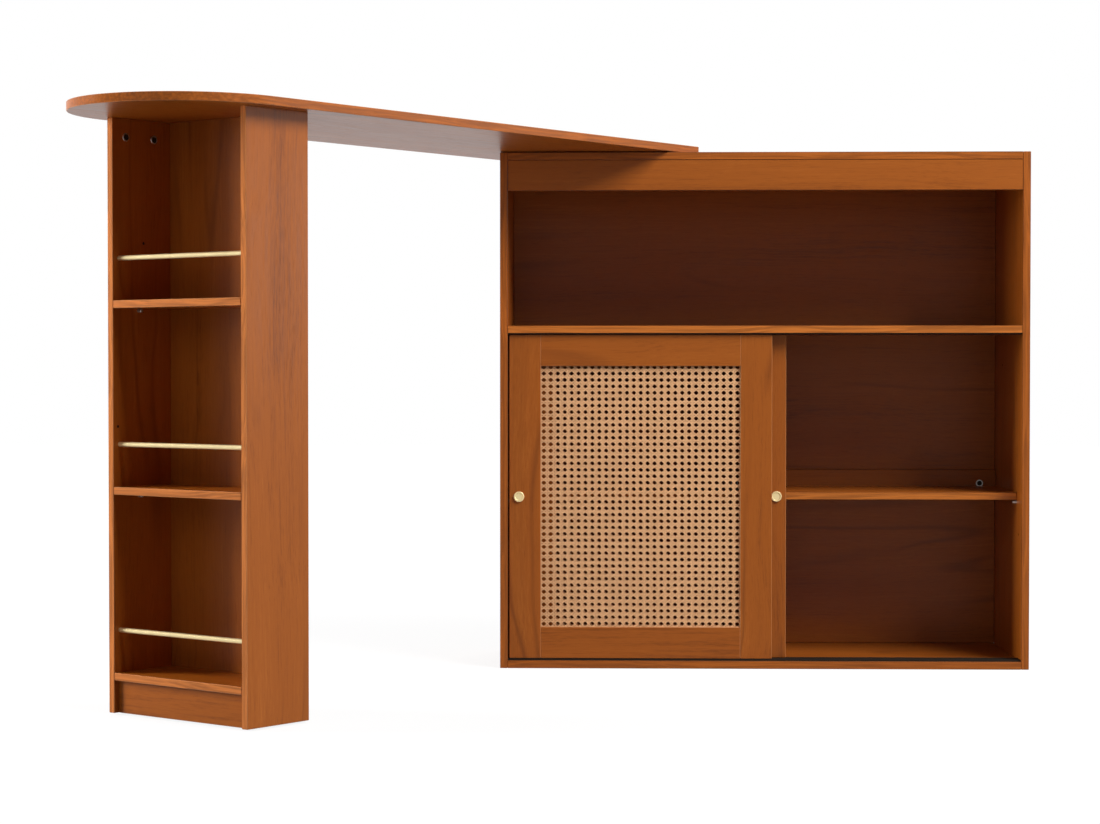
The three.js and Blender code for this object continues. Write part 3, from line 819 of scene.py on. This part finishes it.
def weave_mesh(settings, width, height):
    """One panel of eight-sided cane weave in the XZ plane, centred on the origin"""
    rng = random.Random(WEAVE_SEED)
    pitch_x, pitch_z = settings.pitch_x, settings.pitch_z
    half_w, half_h = width / 2 - settings.tuck, height / 2 - settings.tuck
    spread = settings.spread
    columns = math.ceil(half_w / pitch_x)
    rows = math.ceil(half_h / pitch_z)
    uprights = [(index + 0.5) * pitch_x for index in range(-columns, columns)]
    levels = [(index + 0.5) * pitch_z + settings.row_offset for index in range(-rows, rows)]
    uprights = [x for x in uprights if abs(x) + spread < half_w]
    levels = [z for z in levels if abs(z) + spread < half_h]
    verts, faces, tones = [], [], []

    def stray(phase, at):
        return settings.wander * math.sin(phase + STRAY_RATE * at)

    def straight_strands(lines, crossings, half, across, side, point):
        """Pairs of strands along the lines, each over and under the strands that it crosses"""
        for index, line in enumerate(lines):
            for twin in (0, 1):
                phase, tone = rng.uniform(0, PHASE_SPAN), rng.uniform(*STRAIGHT_TONES)
                middle = line + (2 * twin - 1) * spread
                points = [point(-half, middle + stray(phase, -half), 0.0)]
                for count, crossing in enumerate(crossings):
                    for other in (0, 1):
                        at = crossing + (2 * other - 1) * spread
                        sign = side if (index + twin + count + other) % 2 else -side
                        points.append(point(at, middle + stray(phase, at), sign * settings.wave))
                points.append(point(half, middle + stray(phase, half), 0.0))
                add_strand(points, across, settings.strand / 2, tone, verts, faces, tones)

    def upright_point(along, middle, depth):
        return Vector((middle, depth, along))

    def level_point(along, middle, depth):
        return Vector((along, depth, middle))

    straight_strands(uprights, levels, half_h, Vector((1.0, 0.0, 0.0)), 1, upright_point)
    straight_strands(levels, uprights, half_w, Vector((0.0, 0.0, -1.0)), -1, level_point)
    deep = SLANT_DEPTH * settings.wave
    slope = Vector((pitch_x, 0.0, pitch_z)).normalized()
    reach = columns + rows + 2
    for direction in (1, -1):
        across = Vector((-slope.z * direction, 0.0, slope.x)) * -direction
        for line in range(-reach, reach + 1):
            tone = rng.uniform(*SLANT_TONES)
            points = []
            for step in range(-2 * columns - 2, 2 * columns + 3):
                column = step / 2
                row = direction * column + line + 0.5
                point = Vector((column * pitch_x, 0.0, row * pitch_z + settings.row_offset))
                if abs(point.x) > half_w or abs(point.z) > half_h:
                    continue
                over = (step % 2 == 0) == (direction > 0)
                point.y = -deep if over else deep
                points.append(point)
            if len(points) > 1:
                add_strand(points, across, settings.diagonal / 2, tone, verts, faces, tones)
    mesh = bpy.data.meshes.new("Cane Weave")
    mesh.from_pydata(verts, [], faces)
    mesh.attributes.new("tone", "FLOAT", "FACE").data.foreach_set("value", tones)
    mesh.shade_smooth()
    mesh.update()
    return mesh


class COUNTER_OT_weave_cane(bpy.types.Operator):
    """Weave both cane panels in place of the plain sheets"""

    bl_idname = "counter.weave_cane"
    bl_label = "Weave Cane"

    def execute(self, context):
        settings = context.scene.counter_cane
        low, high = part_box("front_door_cane")
        mesh = weave_mesh(settings, high.x - low.x, high.z - low.z)
        mesh.materials.append(cane_material(settings))
        for body in ("front_door", "rear_door"):
            low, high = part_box(f"{body}_cane")
            panel = bpy.data.objects.new(f"{body}_weave", mesh)
            context.scene.collection.objects.link(panel)
            panel.location = (low + high) / 2
            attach(panel, body)
            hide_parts(f"{body}_cane")
        return {"FINISHED"}


def round_mesh(name, profile, steps):
    """Profile of radius and height pairs turned about Z, closed at both ends on the axis"""
    verts, faces = [], []
    rings = []
    for radius, height in profile:
        if radius == 0.0:
            rings.append([len(verts)])
            verts.append((0.0, 0.0, height))
            continue
        rings.append(list(range(len(verts), len(verts) + steps)))
        for step in range(steps):
            angle = 2 * math.pi * step / steps
            verts.append((radius * math.cos(angle), radius * math.sin(angle), height))
    for lower, upper in zip(rings, rings[1:]):
        for step in range(steps):
            after = (step + 1) % steps
            if len(lower) == 1:
                faces.append((lower[0], upper[after], upper[step]))
            elif len(upper) == 1:
                faces.append((lower[step], lower[after], upper[0]))
            else:
                faces.append((lower[step], lower[after], upper[after], upper[step]))
    mesh = bpy.data.meshes.new(name)
    mesh.from_pydata(verts, [], faces)
    mesh.shade_smooth()
    mesh.set_sharp_from_angle(angle=TURNED_CRISP_ANGLE)
    return mesh


def place_round(context, name, mesh, place, normal, body):
    obj = bpy.data.objects.new(name, mesh)
    context.scene.collection.objects.link(obj)
    turn = Vector(normal).to_track_quat("Z", "Y").to_matrix().to_4x4()
    obj.matrix_world = Matrix.Translation(Vector(place)) @ turn
    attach(obj, body)


class COUNTER_OT_add_small_fittings(bpy.types.Operator):
    """Add cam-lock heads with a black well of painted shade, tower shelf pins, and thin black discs of painted
    shade where the spare pin holes are
    """

    bl_idname = "counter.add_small_fittings"
    bl_label = "Add Small Fittings"

    def execute(self, context):
        settings = context.scene.counter_fittings
        steel = bpy.data.materials["Plated Steel"]
        dark = bpy.data.materials["Black Plastic"]
        cam_radius = settings.cam_radius
        well = CAM_WELL_SHARE * cam_radius
        cam_profile = [
            (0.0, -CAM_SUNK),
            (cam_radius, -CAM_SUNK),
            (cam_radius, CAM_WALL),
            (cam_radius - CAM_BEVEL, CAM_RIM),
            (well, CAM_RIM),
            (well, CAM_WELL_FLOOR),
            (0.0, CAM_WELL_FLOOR),
        ]
        cam = round_mesh("Cam Lock", cam_profile, CAM_STEPS)
        cam.materials.append(steel)
        cam.materials.append(dark)
        # The cam's shallow well is coloured black: painted shade standing for the dark of its drive recess
        for face in cam.polygons:
            if face.center.z > 0.0 and face.center.xy.length < well:
                face.material_index = 1
        # Pin holes: thin black discs just proud of the face, painted shade standing for the holes' dark insides
        hole_radius = settings.hole_radius
        hole_shade_profile = [
            (0.0, -HOLE_SUNK),
            (hole_radius, -HOLE_SUNK),
            (hole_radius, HOLE_LIFT),
            (0.0, HOLE_LIFT),
        ]
        hole_shade = round_mesh("Pin Hole", hole_shade_profile, PIN_STEPS)
        hole_shade.materials.append(dark)
        pin_radius, pin_length = settings.pin_radius, settings.pin_length
        pin_profile = [
            (0.0, -PIN_SUNK),
            (pin_radius, -PIN_SUNK),
            (pin_radius, pin_length - PIN_BEVEL),
            (pin_radius - PIN_BEVEL, pin_length),
            (0.0, pin_length),
        ]
        pin = round_mesh("Tower Pin", pin_profile, PIN_STEPS)
        pin.materials.append(steel)
        for side in ("left", "right"):
            low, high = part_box(f"{side}_back_rail")
            for end, x in (("a", low.x + RAIL_CAM_INSET), ("b", high.x - RAIL_CAM_INSET)):
                name = f"cam_{side}_rail_{end}"
                place = (x, low.y, (low.z + high.z) / 2)
                place_round(context, name, cam, place, (0, -1, 0), "cabinet")
        inner_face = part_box("cabinet_right_side")[0].x
        for index, (y, z) in enumerate(SIDE_HOLES):
            name = f"pin_hole_right_{index}"
            place_round(context, name, hole_shade, (inner_face, y, z), (-1, 0, 0), "cabinet")
        swivel = swivel_place()
        turn = Matrix.Translation((swivel.x, swivel.y, 0)) @ Matrix.Rotation(bar_angle(), 4, "Z")
        shelf_under = {name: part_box(f"tower_{name}_shelf")[0].z for name in ("lower", "upper")}
        for side, sign in (("left", 1), ("right", -1)):
            normal = turn.to_3x3() @ Vector((0, -sign, 0))
            across = sign * TOWER_INNER_HALF
            for index, x in enumerate(TOWER_CAMS_ALONG):
                place = turn @ Vector((x, across, TOWER_CAM_HEIGHT))
                place_round(context, f"cam_tower_{side}_{index}", cam, place, normal, "bar")
            for name, z in shelf_under.items():
                place = turn @ Vector((TOWER_PIN_ALONG, across, z - pin_radius))
                place_round(context, f"pin_tower_{side}_{name}", pin, place, normal, "bar")
            for index, (x, z) in enumerate(TOWER_HOLES):
                name = f"pin_hole_tower_{side}_{index}"
                place = turn @ Vector((x, across, z))
                place_round(context, name, hole_shade, place, normal, "bar")
        return {"FINISHED"}


def add_area(context, name, place, aim, size, power):
    lamp = bpy.data.lights.new(name, "AREA")
    lamp.shape = "RECTANGLE"
    lamp.size, lamp.size_y = size
    lamp.energy = power
    obj = bpy.data.objects.new(name, lamp)
    context.scene.collection.objects.link(obj)
    obj.location = place
    obj.rotation_euler = (Vector(aim) - Vector(place)).to_track_quat("-Z", "Y").to_euler()
    return obj


def floor_material():
    """Pale floor, white to the camera and in reflections, shadowed by the object, clear from below"""
    material, tree, shader = new_material("Pale Floor")
    shader.inputs["Base Color"].default_value = FLOOR_BOUNCE
    shader.inputs["Roughness"].default_value = FLOOR_ROUGHNESS
    path = tree.nodes.new("ShaderNodeLightPath")
    place = tree.nodes.new("ShaderNodeTexCoord").outputs["Object"]
    depth = add_node(tree, "ShaderNodeSeparateXYZ", {0: place}).outputs["Y"]
    grown = ramp(tree, depth, *FLOOR_MIRROR_SPAN)
    mirrored = math_node(tree, "MULTIPLY_ADD", grown, FLOOR_MIRROR_GAIN, MIRROR_FRONT)
    plain = math_node(tree, "MULTIPLY", path.outputs["Is Camera Ray"], FLOOR_LEVEL)
    level = math_node(tree, "MAXIMUM", mirrored, plain)
    white = add_node(tree, "ShaderNodeEmission", {"Color": WHITE, "Strength": level})
    shaded = add_node(tree, "ShaderNodeBsdfDiffuse", {"Color": FLOOR_SHADED})
    far = ramp(tree, vector_node(tree, "LENGTH", place), *FLOOR_FADE)
    kept = math_node(tree, "MULTIPLY_ADD", far, 1.0 - FLOOR_WHITE, FLOOR_WHITE)
    kept = math_node(tree, "MAXIMUM", kept, path.outputs["Is Glossy Ray"])
    shown = add_node(tree, "ShaderNodeMixShader", {0: kept, 1: shaded.outputs[0], 2: white.outputs[0]})
    seen = math_node(tree, "MAXIMUM", path.outputs["Is Camera Ray"], path.outputs["Is Glossy Ray"])
    above = add_node(tree, "ShaderNodeMixShader", {0: seen, 1: shader.outputs[0], 2: shown.outputs[0]})
    below = tree.nodes.new("ShaderNodeBsdfTransparent")
    under = tree.nodes.new("ShaderNodeNewGeometry").outputs["Backfacing"]
    mixed = add_node(tree, "ShaderNodeMixShader", {0: under, 1: above.outputs[0], 2: below.outputs[0]})
    out = next(node for node in tree.nodes if node.type == "OUTPUT_MATERIAL")
    tree.links.new(mixed.outputs[0], out.inputs[0])
    return material


def set_world(context, ambient):
    """Dim even light, white to the camera, and for reflections softer in front and white behind"""
    world = bpy.data.worlds.new("Studio")
    context.scene.world = world
    world.use_nodes = True
    tree = world.node_tree
    tree.nodes.clear()
    path = tree.nodes.new("ShaderNodeLightPath")
    direction = tree.nodes.new("ShaderNodeTexCoord").outputs["Generated"]
    facing = add_node(tree, "ShaderNodeSeparateXYZ", {0: direction})
    grown = ramp(tree, facing.outputs["Y"], *WORLD_MIRROR_SPAN)
    mirrored = math_node(tree, "MULTIPLY_ADD", grown, WORLD_MIRROR_GAIN, MIRROR_FRONT)
    not_mirrored = math_node(tree, "SUBTRACT", 1.0, path.outputs["Is Glossy Ray"])
    even = math_node(tree, "MULTIPLY", not_mirrored, ambient)
    level = math_node(tree, "MULTIPLY_ADD", mirrored, path.outputs["Is Glossy Ray"], even)
    level = math_node(tree, "MAXIMUM", level, path.outputs["Is Camera Ray"])
    shade = add_node(tree, "ShaderNodeBackground", {"Color": WHITE, "Strength": level})
    add_node(tree, "ShaderNodeOutputWorld", {0: shade.outputs[0]})


class COUNTER_OT_set_stage(bpy.types.Operator):
    """Set the floor, the lights, the white surround and the camera"""

    bl_idname = "counter.set_stage"
    bl_label = "Set Stage"

    def execute(self, context):
        settings = context.scene.counter_stage
        scene = context.scene
        mesh = bpy.data.meshes.new("Floor")
        corners = [(x * FLOOR_REACH, y * FLOOR_REACH, 0) for x, y in ((-1, -1), (1, -1), (1, 1), (-1, 1))]
        mesh.from_pydata(corners, [], [(0, 1, 2, 3)])
        mesh.materials.append(floor_material())
        floor = bpy.data.objects.new("Floor", mesh)
        floor.location.z = -FLOOR_GAP
        scene.collection.objects.link(floor)
        for name, place, aim, size, mirrored in SOFT_BOXES:
            lamp = add_area(context, name, place, aim, size, getattr(settings, f"{name.lower()}_power"))
            lamp.visible_glossy = mirrored
        set_world(context, settings.ambient)
        camera = bpy.data.cameras.new("Camera")
        camera.sensor_width = SENSOR_WIDTH
        camera.lens = settings.lens
        camera.shift_x, camera.shift_y = settings.shift
        eye = bpy.data.objects.new("Camera", camera)
        scene.collection.objects.link(eye)
        pitch, roll, yaw = settings.camera_turn
        eye.location = settings.camera_place
        eye.rotation_euler = (math.pi / 2 + pitch, roll, yaw)
        scene.camera = eye
        scene.view_settings.view_transform = "Standard"
        return {"FINISHED"}


class COUNTER_PT_panel(bpy.types.Panel):
    """Settings and steps of the counter's looks"""

    bl_idname = "COUNTER_PT_panel"
    bl_label = "Bar Counter"
    bl_space_type = "VIEW_3D"
    bl_region_type = "UI"
    bl_category = "Counter"

    def draw(self, context):
        layout = self.layout
        for name, kind, operator in STEPS:
            box = layout.box()
            settings = getattr(context.scene, name)
            for prop in kind.__annotations__:
                box.prop(settings, prop)
            box.operator(operator)


STEPS = (
    ("counter_boards", BoardSettings, "counter.finish_boards"),
    ("counter_metal", MetalSettings, "counter.finish_fittings"),
    ("counter_cane", CaneSettings, "counter.weave_cane"),
    ("counter_fittings", FittingSettings, "counter.add_small_fittings"),
    ("counter_stage", StageSettings, "counter.set_stage"),
)

CLASSES = (
    BoardSettings,
    CaneSettings,
    MetalSettings,
    FittingSettings,
    StageSettings,
    COUNTER_OT_finish_boards,
    COUNTER_OT_finish_fittings,
    COUNTER_OT_weave_cane,
    COUNTER_OT_add_small_fittings,
    COUNTER_OT_set_stage,
    COUNTER_PT_panel,
)


def register():
    for cls in CLASSES:
        bpy.utils.register_class(cls)
    for name, kind, _ in STEPS:
        setattr(bpy.types.Scene, name, bpy.props.PointerProperty(type=kind))


def unregister():
    for name, _, _ in STEPS:
        delattr(bpy.types.Scene, name)
    for cls in reversed(CLASSES):
        bpy.utils.unregister_class(cls)


def main():
    register()
    bpy.ops.counter.finish_boards()
    bpy.ops.counter.finish_fittings()
    bpy.ops.counter.weave_cane()
    bpy.ops.counter.add_small_fittings()
    bpy.ops.counter.set_stage()


if __name__ == "__main__":
    main()
